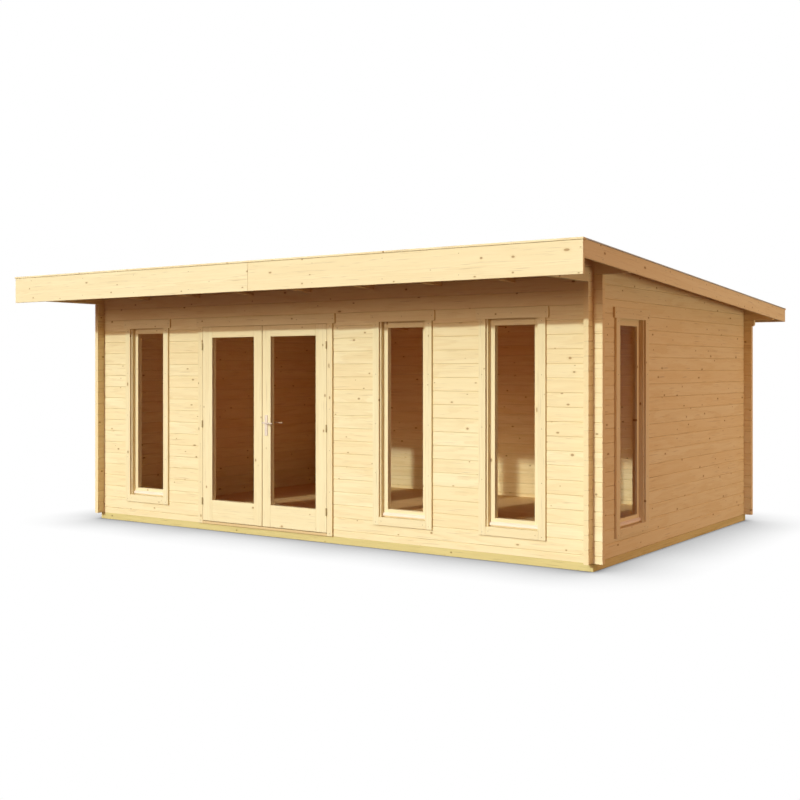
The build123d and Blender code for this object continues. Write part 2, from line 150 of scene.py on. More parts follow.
KNOT_SPACING = 0.42
KNOT_ROW = 0.1
KNOT_RADIUS = 0.0095
KNOT_BLUR = 0.005
HALO_REACH = 2.8
RING_WIDTH = 0.0042
RING_WANDER = 0.022
RING_SWERVE = 0.009
PITH_SPREAD = 0.045
LOT_LENGTH = 40.0
GRAIN_DEPTH = 0.0008
GRAIN_STRENGTH = 0.22
WOOD_GLOSS = 0.08
WOOD_ROUGHNESS = 0.5
BEND_SCALES = (0.8, 6.0, 6.0)
SHIVER_SCALES = (6.0, 90.0, 90.0)
STREAK_SCALES = (1.3, 26.0, 26.0)
FIBRE_SCALES = (14.0, 800.0, 800.0)
DASH_SCALES = (4.0, 60.0, 120.0)
LATE_WOOD = (0.35, 0.92)
DASH_LIMITS = (0.6, 0.76)
HALO_LIMITS = (0.2, 1.0)
TONE_SHARE = 0.5
DASH_SHARE = 0.3
HALO_SHARE = 0.4
KNOT_SHARE = 0.7
END_SHARE = 0.45


def softwood(shader, wire, place, tone, end, pale, dark, warm, knot, knot_share):
    """Spruce cut from the round: rings about a pith, streaks along the grain and branch knots.
    place is along, through and across the piece in metres, tone its own shade, end its cut ends.
    Sets roughness and bump, and gives back the colour."""
    along, through, across = place.parts()

    def drawn_out(scales):
        """The place on the piece, scaled along, through and across the grain."""
        return wire.vector(along * scales[0], through * scales[1], across * scales[2])

    grid = wire.vector(along / KNOT_SPACING, across / KNOT_ROW, 0.0)
    scatter = {"Vector": grid, "Scale": 1.0, "Randomness": 0.9}
    cells = wire.make("ShaderNodeTexVoronoi", scatter, "Position", voronoi_dimensions="2D")
    chance, size, twist = Wire(wire.tree, cells.output.node.outputs["Color"]).parts()
    centre = cells.parts()
    from_along = along - centre[0] * KNOT_SPACING
    from_across = across - centre[1] * KNOT_ROW
    distance = (from_along * from_along * (0.14 + 0.45 * twist) + from_across * from_across).root()
    there = chance > 1 - knot_share
    radius = KNOT_RADIUS * (0.3 + 0.7 * size)
    core = there * ((radius - distance) / KNOT_BLUR + 0.5).smooth(0.0, 1.0)
    halo = there * (1 - (distance / (radius * HALO_REACH)).smooth(*HALO_LIMITS))
    bend = wire.noise(drawn_out(BEND_SCALES))
    girth = (through * through + across * across).root()
    girth = girth + (bend - 0.5) * RING_WANDER + halo * RING_SWERVE
    shiver = wire.noise(drawn_out(SHIVER_SCALES))
    late = (girth / RING_WIDTH + shiver * 0.8).fraction().smooth(*LATE_WOOD)
    streak = wire.noise(drawn_out(STREAK_SCALES), detail=4.0, roughness=0.62)
    fibre = wire.noise(drawn_out(FIBRE_SCALES))
    dash = wire.noise(drawn_out(DASH_SCALES)).smooth(*DASH_LIMITS)
    shade = late * 0.26 + (streak - 0.5) * 0.9 + (fibre - 0.5) * 0.25 + 0.12
    colour = wire.mix(shade, pale, dark)
    colour = wire.mix(tone * TONE_SHARE, colour, warm)
    colour = wire.mix(dash * DASH_SHARE, colour, knot)
    colour = wire.mix(halo * HALO_SHARE, colour, dark)
    colour = wire.mix(core * KNOT_SHARE, colour, knot)
    height = late * 0.35 + fibre * 0.5 - core * 0.3
    sockets = {"Height": height, "Strength": GRAIN_STRENGTH, "Distance": GRAIN_DEPTH}
    bump = wire.make("ShaderNodeBump", sockets)
    join(WOOD_ROUGHNESS + streak * 0.2 + late * 0.08, shader, "Roughness")
    join(bump, shader, "Normal")
    shader.inputs["Specular IOR Level"].default_value = WOOD_GLOSS
    return wire.mix(end * END_SHARE, colour, warm)


def board_material(name, pale, dark, warm, knot, knot_share):
    """Softwood for pieces that carry their own grain and shade from board to board."""
    material, shader, wire = new_material(name)
    place = wire.make("ShaderNodeAttribute", {}, "Vector", attribute_name="grain")
    tone = wire.make("ShaderNodeAttribute", {}, "Fac", attribute_name="shade")
    end = wire.make("ShaderNodeAttribute", {}, "Fac", attribute_name="cut_end")
    colour = softwood(shader, wire, place, tone, end, pale, dark, warm, knot, knot_share)
    join(colour, shader, "Base Color")
    return material


def start_boards():
    """An empty mesh whose boards note where their grain runs."""
    boards = bmesh.new()
    boards.loops.layers.float_vector.new("grain")
    boards.loops.layers.float.new("shade")
    boards.loops.layers.float.new("cut_end")
    boards.faces.layers.int.new("made")
    return boards


def block(mesh, low, high):
    """A square block between two corners of its box; gives back its corner points."""
    low = Vector(low)
    high = Vector(high)
    place = Matrix.Translation((low + high) / 2) @ Matrix.Diagonal((*(high - low), 1.0))
    return bmesh.ops.create_cube(mesh, size=1.0, matrix=place)["verts"]


def edges_at(points):
    """The edges that end at any of some points."""
    return {edge for point in points for edge in point.link_edges}


def round_edges(mesh, edges, radius, segments=2):
    """Round some edges off; gives back the bevel's own faces."""
    result = bmesh.ops.bevel(mesh, geom=list(edges), offset=radius, offset_type="OFFSET", segments=segments,
                             profile=0.5, affect="EDGES", material=-1, clamp_overlap=True)
    return result["faces"]


UPRIGHT_LEAN = 1.25
END_FACING = 0.9


def plank(boards, low, high, draw, arris, fall=0.0):
    """One board between two corners, its edges rounded by an arris and its length along its grain.
    The knots face out of its broad sides, the upright ones where it is about square. fall lowers it
    from front to back as the roof falls."""
    low = Vector(low)
    high = Vector(high)
    size = high - low
    middle = (low + high) / 2
    round_edges(boards, edges_at(block(boards, low, high)), arris)
    reach = [size.x, size.y, size.z * UPRIGHT_LEAN]
    long, broad, thin = sorted(range(3), key=lambda axis: -reach[axis])
    pith = (-PITH_SPREAD, PITH_SPREAD)
    shifts = (draw.uniform(0, LOT_LENGTH), draw.uniform(*pith), draw.uniform(*pith))
    shade = draw.random()
    grain_layer = boards.loops.layers.float_vector["grain"]
    shade_layer = boards.loops.layers.float["shade"]
    end_layer = boards.loops.layers.float["cut_end"]
    made_layer = boards.faces.layers.int["made"]
    fresh = [face for face in boards.faces if face[made_layer] == 0]
    points = set()
    for face in fresh:
        face[made_layer] = 1
        is_end = abs(face.normal[long]) > END_FACING
        for loop in face.loops:
            here = loop.vert.co - middle
            loop[grain_layer] = (here[long] + shifts[0], here[thin] + shifts[1], here[broad] + shifts[2])
            loop[shade_layer] = shade
            loop[end_layer] = 1.0 if is_end else 0.0
            points.add(loop.vert)
    for point in points:
        point.co.z -= fall * (point.co.y - low.y)


def piece(name, mesh, material, body, nodes=()):
    """Make an object of a finished mesh, riding on its body and standing for CAD nodes."""
    data = bpy.data.meshes.new(name)
    mesh.to_mesh(data)
    mesh.free()
    thing = bpy.data.objects.new(name, data)
    bpy.context.scene.collection.objects.link(thing)
    data.materials.append(material)
    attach(thing, body)
    if nodes:
        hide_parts(*nodes)
    return thing


MERGE_DISTANCE = 0.00002


def solids(node):
    """The lowest and highest corners of each separate solid in a CAD node."""
    copy = bmesh.new()
    copy.from_mesh(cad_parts[node].data)
    bmesh.ops.remove_doubles(copy, verts=copy.verts, dist=MERGE_DISTANCE)
    left = set(copy.verts)
    boxes = []
    while left:
        group = [left.pop()]
        for point in group:
            near = {edge.other_vert(point) for edge in point.link_edges} & left
            left -= near
            group.extend(near)
        lows = [min(point.co[axis] for point in group) for axis in range(3)]
        highs = [max(point.co[axis] for point in group) for axis in range(3)]
        boxes.append((Vector(lows), Vector(highs)))
    copy.free()
    return sorted(boxes, key=lambda box: tuple(round(value, 3) for value in box[0]))


def boards_of(node, material, body, draw, arris):
    """Rounded boards in the place of a CAD node's square ones."""
    boards = start_boards()
    for low, high in solids(node):
        plank(boards, low, high, draw, arris)
    return piece(node + "_timber", boards, material, body, [node])


SAWN_ARRIS = 0.003
treated = board_material(
    "treated_softwood",
    pale=linear(226, 208, 146),
    dark=linear(178, 160, 96),
    warm=linear(196, 182, 112),
    knot=linear(112, 84, 48),
    knot_share=0.5,
)
draw = random.Random(11)
for node in ("long_bearers", "side_bearers", "floor_joists"):
    boards_of(node, treated, "cabin", draw, SAWN_ARRIS)

# Floor boards
# Tongued and grooved spruce, laid across the joists inside the walls and nailed through the
# tongues, so only the narrow V between boards shows. Each run is made of two lengths.
FLOOR_RUNS = 38
FLOOR_ARRIS = 0.0025
FLOOR_BUTT_SHARES = (0.3, 0.4, 0.5, 0.6, 0.7)
floor_wood = board_material(
    "floor_spruce",
    pale=linear(240, 208, 152),
    dark=linear(216, 174, 116),
    warm=linear(228, 190, 134),
    knot=linear(134, 88, 50),
    knot_share=0.45,
)
low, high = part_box("floor_boards")
draw = random.Random(12)
boards = start_boards()
pitch = (high.y - low.y) / FLOOR_RUNS
for run in range(FLOOR_RUNS):
    front = low.y + run * pitch
    butt = low.x + (high.x - low.x) * draw.choice(FLOOR_BUTT_SHARES)
    plank(boards, (low.x, front, low.z), (butt, front + pitch, high.z), draw, FLOOR_ARRIS)
    plank(boards, (butt, front, low.z), (high.x, front + pitch, high.z), draw, FLOOR_ARRIS)
piece("floor_planks", boards, floor_wood, "cabin", ["floor_boards"])

# Log walls
# Planed spruce logs with a V along each joint, stacked dry and half-lapped where walls cross, so
# the ends stand out past the corners and show their rings. The front and side courses sit half a
# log apart. Every log has its own shade and its own knots.
COURSE = 0.115
FRONT_FIRST_JOINT = 0.1225
SIDE_FIRST_JOINT = 0.065
OPENING_CENTRES = (-2.182, -0.576, 1.060, 2.166)
OPENING_LEVELS = (0.24, 2.0)
LOG_PALE = linear(243, 229, 186)
LOG_DARK = linear(222, 196, 141)
LOG_WARM = linear(237, 213, 162)
LOG_KNOT = linear(150, 112, 66)
LOG_GAP_SHADE = linear(96, 72, 42)
LOG_KNOT_SHARE = 0.5
LOG_END_LIMITS = (0.8, 0.95)
SEAM_LIMITS = (0.0560, 0.0572)
SEAM_LEAST = 0.16
SEAM_OPENING = 0.5
SEAM_OPENING_LIMITS = (0.42, 0.68)
WALL_PITH = 0.05
BACK_NUMBER = 57.0
SIDE_NUMBER = 100.0
OPENING_NUMBER = 211.0


def log_material(name, side):
    """Logs of one pair of walls; side is true where they run from front to back."""
    material, shader, wire = new_material(name)
    spot = wire.make("ShaderNodeTexCoord", {}, "Object")
    facing = wire.make("ShaderNodeTexCoord", {}, "Normal")
    x, y, z = spot.parts()
    run = y if side else x
    through = x if side else y
    first = SIDE_FIRST_JOINT if side else FRONT_FIRST_JOINT
    course = ((z - first) / COURSE).floor()
    wall = through > 0.0
    number = course + wall * BACK_NUMBER + (SIDE_NUMBER if side else 0.0)
    if not side:
        inside = (z > OPENING_LEVELS[0]) * (1 - (z > OPENING_LEVELS[1]))
        for centre in OPENING_CENTRES:
            number = number + (x > centre) * inside * OPENING_NUMBER
    lots = wire.make("ShaderNodeTexWhiteNoise", {"W": number}, "Color", noise_dimensions="1D")
    lot, pith, tone = lots.parts()
    up = z - first - (course + 0.5) * COURSE
    depth = through - wall * WALL_PITH + (lot - 0.5) * PITH_SPREAD
    place = wire.vector(run + lot * LOT_LENGTH, depth, up + (pith - 0.5) * 2 * PITH_SPREAD)
    normal = facing.parts()
    end = abs(normal[1 if side else 0]).smooth(*LOG_END_LIMITS)
    colours = (LOG_PALE, LOG_DARK, LOG_WARM, LOG_KNOT)
    colour = softwood(shader, wire, place, tone, end, *colours, LOG_KNOT_SHARE)
    # Painted shade: a dark line along each joint stands for the shade in the open gap between logs,
    # stronger where the noise opens the gap wider.
    gap_shade = abs(up).smooth(*SEAM_LIMITS)
    opening = wire.noise(wire.vector(run * 2.8, number * 3.7, 0.0)).smooth(*SEAM_OPENING_LIMITS)
    gap_shade_share = gap_shade * (SEAM_LEAST + opening * SEAM_OPENING)
    join(wire.mix(gap_shade_share, colour, LOG_GAP_SHADE), shader, "Base Color")
    return material


front_logs = log_material("log_spruce_front", False)
side_logs = log_material("log_spruce_side", True)
for node in ("front_wall_left", "front_wall_right", "front_wall_top", "back_wall"):
    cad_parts[node].data.materials[0] = front_logs
for node in ("left_wall", "left_wall_top", "right_wall", "right_wall_top"):
    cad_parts[node].data.materials[0] = side_logs

# Rafters and roof boards
# Sawn spruce rafters let into the wall tops, with tongued boards nailed across them. The boards'
# undersides show between the rafters at the front overhang and inside as the ceiling.
ROOF_FALL = 0.06432
ROOF_RUNS = 42
ROOF_ARRIS = 0.003
ROOF_BUTT_SHARES = (0.33, 0.45, 0.55, 0.67)
# Painted shade: the roof boards are a darker, redder spruce than the rest, since their undersides are only
# seen in the shade under the roof.
shaded_roof_wood = board_material(
    "roof_spruce_painted_shade",
    pale=linear(198, 154, 110),
    dark=linear(166, 120, 78),
    warm=linear(178, 130, 84),
    knot=linear(108, 68, 38),
    knot_share=0.5,
)
rafter_wood = board_material(
    "rafter_spruce",
    pale=linear(238, 214, 166),
    dark=linear(212, 180, 126),
    warm=linear(226, 194, 142),
    knot=linear(136, 98, 58),
    knot_share=0.5,
)
draw = random.Random(14)


def level_box(low, high):
    """The box that a falling roof piece would fill if it lay level with its front end."""
    rise = high.z - low.z - ROOF_FALL * (high.y - low.y)
    return (low.x, low.y, high.z - rise), (high.x, high.y, high.z)


def falling_boards(node, material, arris):
    """Rounded boards that fall with the roof, in the place of a CAD node."""
    boards = start_boards()
    for low, high in solids(node):
        level_low, level_high = level_box(low, high)
        plank(boards, level_low, level_high, draw, arris, ROOF_FALL)
    return piece(node + "_timber", boards, material, "cabin", [node])


falling_boards("rafters", rafter_wood, SAWN_ARRIS)
low, high = level_box(*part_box("roof_boards"))
boards = start_boards()
pitch = (high[1] - low[1]) / ROOF_RUNS
for run in range(ROOF_RUNS):
    front = low[1] + run * pitch
    drop = ROOF_FALL * run * pitch
    butt = low[0] + (high[0] - low[0]) * draw.choice(ROOF_BUTT_SHARES)
    top = high[2] - drop
    bottom = low[2] - drop
    plank(boards, (low[0], front, bottom), (butt, front + pitch, top), draw, ROOF_ARRIS, ROOF_FALL)
    plank(boards, (butt, front, bottom), (high[0], front + pitch, top), draw, ROOF_ARRIS, ROOF_FALL)
piece("roof_planks", boards, shaded_roof_wood, "cabin", ["roof_boards"])

# Roofing felt
# Mineral felt in sheets across the roof, each lapped over the one behind it so that water runs
# off, with a coarse grit face.
GRIT_SCALE = 420.0
GRIT_DEPTH = 0.001
FELT_CLOUD_SCALE = 2.2
FELT_ROUGHNESS = 0.85
felt, shader, wire = new_material("mineral_felt")
spot = wire.make("ShaderNodeTexCoord", {}, "Object")
grit = wire.make("ShaderNodeTexVoronoi", {"Vector": spot, "Scale": GRIT_SCALE}, "Color")
grain = grit.parts()[0]
cloud = wire.make("ShaderNodeTexNoise", {"Vector": spot, "Scale": FELT_CLOUD_SCALE, "Detail": 4.0})
colour = wire.mix(grain, linear(52, 56, 54), linear(104, 108, 102))
colour = wire.mix((cloud - 0.4) * 1.2, colour, linear(70, 76, 68))
bump = wire.make("ShaderNodeBump", {"Height": grain, "Strength": 0.5, "Distance": GRIT_DEPTH})
join(colour, shader, "Base Color")
join(FELT_ROUGHNESS + grain * 0.1, shader, "Roughness")
join(bump, shader, "Normal")
FELT_SHEETS = 5
FELT_LAP = 0.09
FELT_ARRIS = 0.001
felt_low, felt_high = level_box(*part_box("roof_felt"))
sheets = start_boards()
width = (felt_high[1] - felt_low[1]) / FELT_SHEETS


def sheet_fall(sheet):
    """A sheet falls a little less than the roof, so that its back edge lies on the next sheet."""
    last = sheet == FELT_SHEETS - 1
    return ROOF_FALL if last else ROOF_FALL - (felt_high[2] - felt_low[2]) / width


for sheet in range(FELT_SHEETS):
    front = felt_low[1] + sheet * width
    back = min(front + width + FELT_LAP, felt_high[1])
    drop = ROOF_FALL * sheet * width
    sheet_low = (felt_low[0], front, felt_low[2] - drop)
    sheet_high = (felt_high[0], back, felt_high[2] - drop)
    plank(sheets, sheet_low, sheet_high, draw, FELT_ARRIS, sheet_fall(sheet))
piece("felt_sheets", sheets, felt, "cabin", ["roof_felt"])

# Fascias, bargeboards and edge strips
# Planed spruce boards screwed over the roof's edges, the front one deep enough to hide the rafter
# ends and in two lengths that butt at the middle. A thin strip covers the felt's edge all round.
PLANED_ARRIS = 0.002
planed = board_material(
    "planed_spruce",
    pale=linear(241, 228, 186),
    dark=linear(218, 194, 142),
    warm=linear(233, 211, 162),
    knot=linear(148, 110, 64),
    knot_share=0.55,
)
FASCIA_GAP = 0.001
draw = random.Random(15)
for node in ("front_fascia_left", "front_fascia_right"):
    low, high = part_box(node)
    if low.x < -FASCIA_GAP:
        high.x -= FASCIA_GAP
    else:
        low.x += FASCIA_GAP
    boards = start_boards()
    plank(boards, low, (high.x, high.y, high.z - ROOF_FALL * (high.y - low.y)), draw, PLANED_ARRIS)
    piece(node + "_timber", boards, planed, "cabin", [node])
for node in ("left_bargeboard", "right_bargeboard", "back_fascia", "front_edge_strip", "back_edge_strip"):
    falling_boards(node, planed, PLANED_ARRIS)
EDGE_METAL_ARRIS = 0.001
edge_metal, shader, wire = new_material("grey_edge_metal")
spot = wire.make("ShaderNodeTexCoord", {}, "Object")
cloud = wire.make("ShaderNodeTexNoise", {"Vector": spot, "Scale": 7.0, "Detail": 3.0})
join(wire.mix(cloud, linear(178, 172, 160), linear(200, 194, 182)), shader, "Base Color")
join(0.5 + cloud * 0.2, shader, "Roughness")
shader.inputs["Metallic"].default_value = 0.25
falling_boards("side_edge_strips", edge_metal, EDGE_METAL_ARRIS)

# Screws and nails in the roof's edges
# Zinc plated countersunk screws, two at each rafter end through the fascias and two every half
# metre or so along the bargeboards, and broad-headed clout nails round the felt and on its laps.
SCREW_RADIUS = 0.0042
SCREW_TOP_SHARE = 0.86
SCREW_RIM_SHARE = 0.45
SOCKET_SLOPE_SHARE = 0.06
SCREW_PROUD = 0.0007
SCREW_RECESS = 0.0012
SCREW_SEGMENTS = 10
SCREW_EDGE = 0.025
FASCIA_SCREW_EDGE = 0.040
BARGE_SCREW_STEPS = 8


def screw(heads, spot, axis, side):
    """One screw head at a spot on a face that looks along an axis, towards its high or low side."""
    outward = Vector((0.0, 0.0, 0.0))
    outward[axis] = side
    turn = outward.to_track_quat("Z", "Y").to_matrix().to_4x4()
    place = Matrix.Translation(Vector(spot)) @ turn
    top_radius = SCREW_RADIUS * SCREW_TOP_SHARE
    made = bmesh.ops.create_cone(heads, cap_ends=True, segments=SCREW_SEGMENTS, radius1=SCREW_RADIUS,
                                 radius2=top_radius, depth=SCREW_PROUD * 2, matrix=place)
    faces = {face for corner in made["verts"] for face in corner.link_faces}
    top = max(faces, key=lambda face: face.calc_center_median().dot(outward))
    rim = SCREW_RADIUS * SCREW_RIM_SHARE
    slope = SCREW_RADIUS * SOCKET_SLOPE_SHARE
    bmesh.ops.inset_individual(heads, faces=[top], thickness=rim, depth=0.0)
    bmesh.ops.inset_individual(heads, faces=[top], thickness=slope, depth=-SCREW_RECESS)


SATIN_SCALES = (60.0, 60.0, 1500.0)
SATIN_DEPTH = 0.0002


def metal(name, pale, dark, roughness):
    """Drawn or cast metal with a fine satin grain."""
    material, shader, wire = new_material(name)
    spot = wire.make("ShaderNodeTexCoord", {}, "Object")
    x, y, z = spot.parts()
    scratch = wire.noise(wire.vector(x * SATIN_SCALES[0], y * SATIN_SCALES[1], z * SATIN_SCALES[2]))
    join(wire.mix(scratch, pale, dark), shader, "Base Color")
    join(roughness + scratch * 0.15, shader, "Roughness")
    bump = wire.make("ShaderNodeBump", {"Height": scratch, "Strength": 0.1, "Distance": SATIN_DEPTH})
    join(bump, shader, "Normal")
    shader.inputs["Metallic"].default_value = 1.0
    return material


zinc = metal("zinc_plate", linear(196, 174, 130), linear(150, 128, 88), 0.4)
heads = bmesh.new()
rafter_lines = sorted({round((low.x + high.x) / 2, 3) for low, high in solids("rafters")})
for node, side in (("front_fascia_left", -1), ("front_fascia_right", -1), ("back_fascia", 1)):
    low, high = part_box(node)
    face = low.y if side < 0 else high.y
    foot = low.z
    top = high.z - ROOF_FALL * (high.y - low.y)
    for line in rafter_lines:
        if low.x + SCREW_EDGE < line < high.x - SCREW_EDGE:
            screw(heads, (line, face, foot + FASCIA_SCREW_EDGE), 1, side)
            screw(heads, (line, face, top - FASCIA_SCREW_EDGE), 1, side)
for node, side in (("left_bargeboard", -1), ("right_bargeboard", 1)):
    low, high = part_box(node)
    level_low, level_high = level_box(low, high)
    face = low.x if side < 0 else high.x
    for step in range(BARGE_SCREW_STEPS):
        share = (step + 0.5) / BARGE_SCREW_STEPS
        y = low.y + (high.y - low.y) * share
        drop = ROOF_FALL * (y - low.y)
        screw(heads, (face, y, level_low[2] - drop + SCREW_EDGE), 0, side)
        screw(heads, (face, y, level_high[2] - drop - SCREW_EDGE), 0, side)
piece("roof_edge_screws", heads, zinc, "cabin")
NAIL_RADIUS = 0.005
NAIL_TOP_SHARE = 0.6
NAIL_SEGMENTS = 8
NAIL_PROUD = 0.0012
NAIL_SPACING = 0.16
NAIL_INSET = 0.045
LAP_NAIL_SHARE = 0.6
nails = bmesh.new()
left_line = felt_low[0] + NAIL_INSET
right_line = felt_high[0] - NAIL_INSET
nail_count = round((right_line - left_line) / NAIL_SPACING)
nail_rows = [felt_low[1] + NAIL_INSET, felt_high[1] - NAIL_INSET]
nail_rows += [felt_low[1] + lap * width + FELT_LAP * LAP_NAIL_SHARE for lap in range(1, FELT_SHEETS)]
spots = [(left_line + (right_line - left_line) * step / nail_count, row)
         for row in nail_rows for step in range(nail_count + 1)]
side_count = round((felt_high[1] - felt_low[1]) / NAIL_SPACING)
spots += [(line, felt_low[1] + (felt_high[1] - felt_low[1]) * step / side_count)
          for line in (left_line, right_line) for step in range(1, side_count)]
for x, y in spots:
    lapped = max(0.0, y - felt_low[1] - FELT_LAP)
    sheet = min(int(lapped / width), FELT_SHEETS - 1)
    fallen = ROOF_FALL * sheet * width + sheet_fall(sheet) * (y - felt_low[1] - sheet * width)
    place = Matrix.Translation((x, y, felt_high[2] - fallen))
    bmesh.ops.create_cone(nails, cap_ends=True, segments=NAIL_SEGMENTS, radius1=NAIL_RADIUS,
                          radius2=NAIL_RADIUS * NAIL_TOP_SHARE, depth=NAIL_PROUD * 2, matrix=place)
piece("felt_nails", nails, zinc, "cabin")

# Windows
# Each has a rebated casing through the wall, a set-back sash of two stiles and two rails round a
# sealed pane, and trim boards screwed over the joint on both faces of the wall.
CASING_FACE = 0.030
SASH_STILE = 0.045
SASH_RAIL = 0.068
joinery = board_material(
    "joinery_spruce",
    pale=linear(241, 227, 184),
    dark=linear(220, 196, 144),
    warm=linear(233, 211, 162),
    knot=linear(156, 116, 70),
    knot_share=0.3,
)


def framed(boards, low, high, stiles, rails, draw, arris):
    """An upright frame in a box: stiles at its low and high sides, and a bottom and a top rail
    between them."""
    wide = 0 if high.x - low.x > high.y - low.y else 1
    rail_low = low.copy()
    rail_high = high.copy()
    rail_low[wide] += stiles[0]
    rail_high[wide] -= stiles[1]
    stile_high = high.copy()
    stile_high[wide] = rail_low[wide]
    plank(boards, low, stile_high, draw, arris)
    stile_low = low.copy()
    stile_low[wide] = rail_high[wide]
    plank(boards, stile_low, high, draw, arris)
    plank(boards, rail_low, (rail_high.x, rail_high.y, low.z + rails[0]), draw, arris)
    plank(boards, (rail_low.x, rail_low.y, high.z - rails[1]), rail_high, draw, arris)


draw = random.Random(16)
for node, stile, rail in (
    ("window_casings", CASING_FACE, CASING_FACE),
    ("window_sashes", SASH_STILE, SASH_RAIL),
):
    boards = start_boards()
    for low, high in solids(node):
        framed(boards, low, high, (stile, stile), (rail, rail), draw, PLANED_ARRIS)
    piece(node + "_timber", boards, joinery, "cabin", [node])
for node in ("window_side_trims", "window_head_trims", "window_sill_trims"):
    boards_of(node, planed, "cabin", draw, PLANED_ARRIS)
BEAD_WIDTH = 0.014
BEAD_DEPTH = 0.007
BEAD_ARRIS = 0.003
FRONT_MIDDLE = -1.4745
RIGHT_MIDDLE = 2.877


def beads_of(boards, pane_box, frame_box, grip):
    """Glazing beads planted round a pane's sight line, on the inner face of its frame."""
    low, high = pane_box[0].copy(), pane_box[1].copy()
    thin = 1 if high.x - low.x > high.y - low.y else 0
    for axis in (1 - thin, 2):
        low[axis] += grip - BEAD_WIDTH
        high[axis] -= grip - BEAD_WIDTH
    if thin == 1:
        low.y, high.y = frame_box[1].y, frame_box[1].y + BEAD_DEPTH
    else:
        low.x, high.x = frame_box[0].x - BEAD_DEPTH, frame_box[0].x
    framed(boards, low, high, (BEAD_WIDTH, BEAD_WIDTH), (BEAD_WIDTH, BEAD_WIDTH), draw, BEAD_ARRIS)


PANE_GRIP = 0.010
beads = start_boards()
for pane_box, sash_box in zip(solids("window_panes"), solids("window_sashes")):
    beads_of(beads, pane_box, sash_box, PANE_GRIP)
piece("window_beads", beads, joinery, "cabin")


TRIM_SCREW_SPACING = 0.4


def trim_screws(heads, node):
    """Screws along the middle of each trim board, on the face that looks away from the wall."""
    for low, high in solids(node):
        size = high - low
        order = sorted(range(3), key=lambda axis: size[axis])
        thin, long = order[0], order[2]
        middle = (low + high) / 2
        side = 1 if middle[thin] > (RIGHT_MIDDLE if thin == 0 else FRONT_MIDDLE) else -1
        count = max(2, round(size[long] / TRIM_SCREW_SPACING) + 1)
        for step in range(count):
            spot = middle.copy()
            spot[thin] = high[thin] if side > 0 else low[thin]
            spot[long] = low[long] + SCREW_EDGE + (size[long] - 2 * SCREW_EDGE) * step / (count - 1)
            screw(heads, spot, thin, side)


heads = bmesh.new()
for node in ("window_side_trims", "window_head_trims", "window_sill_trims"):
    trim_screws(heads, node)
piece("window_trim_screws", heads, zinc, "cabin")
BAR_RISE = 0.010
BAR_HEIGHT = 0.030
BAR_REACH = 0.015
BAR_FALL = 0.012
BAR_ARRIS = 0.0015
BRUSH_DEPTH = 0.0004
primed, shader, wire = new_material("pale_primed_timber")
x, y, z = wire.make("ShaderNodeTexCoord", {}, "Object").parts()
brushing = wire.noise(wire.vector(x * 8.0, y * 8.0, z * 260.0), 3.0)
join(wire.mix(brushing, linear(244, 228, 206), linear(230, 210, 184)), shader, "Base Color")
join(0.42 + brushing * 0.2, shader, "Roughness")
bump = wire.make("ShaderNodeBump", {"Height": brushing, "Strength": 0.1, "Distance": BRUSH_DEPTH})
join(bump, shader, "Normal")
bars = bmesh.new()
for low, high in solids("window_sashes"):
    faces_front = high.x - low.x > high.y - low.y
    if faces_front:
        bar_low = Vector((low.x, low.y - BAR_REACH, low.z + BAR_RISE))
        bar_high = Vector((high.x, low.y, low.z + BAR_RISE + BAR_HEIGHT))
    else:
        bar_low = Vector((high.x, low.y, low.z + BAR_RISE))
        bar_high = Vector((high.x + BAR_REACH, high.y, low.z + BAR_RISE + BAR_HEIGHT))
    corners = block(bars, bar_low, bar_high)
    for corner in corners:
        reach = low.y - corner.co.y if faces_front else corner.co.x - high.x
        if reach > BAR_REACH / 2 and corner.co.z > bar_low.z + BAR_HEIGHT / 2:
            corner.co.z -= BAR_FALL
    round_edges(bars, edges_at(corners), BAR_ARRIS)
piece("window_weather_bars", bars, primed, "cabin")
GLASS_INDEX = 1.05
glass, shader, wire = new_material("clear_glazing")
shader.inputs["Base Color"].default_value = linear(249, 235, 220)
shader.inputs["Transmission Weight"].default_value = 1.0
shader.inputs["IOR"].default_value = GLASS_INDEX
smear = wire.make("ShaderNodeTexCoord", {}, "Object")
film = wire.make("ShaderNodeTexNoise", {"Vector": smear, "Scale": 3.0, "Detail": 3.0})
join(film * 0.02, shader, "Roughness")
for node in ("window_panes", "left_leaf_glass", "right_leaf_glass"):
    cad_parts[node].data.materials[0] = glass
    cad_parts[node].visible_shadow = False

# Door frame
# Rebated jambs stand on the bearer and carry the leaves; the head hangs under the lintel log with
# its own stop, and a low threshold closes the foot. Trim boards cover the joint to the logs.
STOP_WIDTH = 0.015
STOP_DEPTH = 0.012
JAMB_THICKNESS = 0.040
draw = random.Random(17)
boards = start_boards()
(low, high), (far_low, far_high) = solids("door_jambs")
plank(boards, low, (high.x - STOP_WIDTH, high.y, high.z), draw, PLANED_ARRIS)
plank(boards, (high.x - STOP_WIDTH, high.y - STOP_DEPTH, low.z), high, draw, PLANED_ARRIS)
far_edge = far_low.x + STOP_WIDTH
plank(boards, (far_edge, far_low.y, far_low.z), far_high, draw, PLANED_ARRIS)
plank(boards, (far_low.x, high.y - STOP_DEPTH, low.z), (far_edge, high.y, high.z), draw, PLANED_ARRIS)
piece("door_jambs_timber", boards, joinery, "cabin", ["door_jambs"])
boards = start_boards()
low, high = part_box("door_head")
plank(boards, (low.x, low.y, low.z + STOP_WIDTH), high, draw, PLANED_ARRIS)
stop_inset = JAMB_THICKNESS + STOP_WIDTH
stop_low = (low.x + stop_inset, high.y - STOP_DEPTH, low.z)
stop_high = (high.x - stop_inset, high.y, low.z + STOP_WIDTH)
plank(boards, stop_low, stop_high, draw, PLANED_ARRIS)
piece("door_head_timber", boards, joinery, "cabin", ["door_head"])
threshold_wood, shader, wire = new_material("threshold_spruce")
x, y, z = wire.make("ShaderNodeTexCoord", {}, "Object").parts()
THRESHOLD_PITH = -1.5
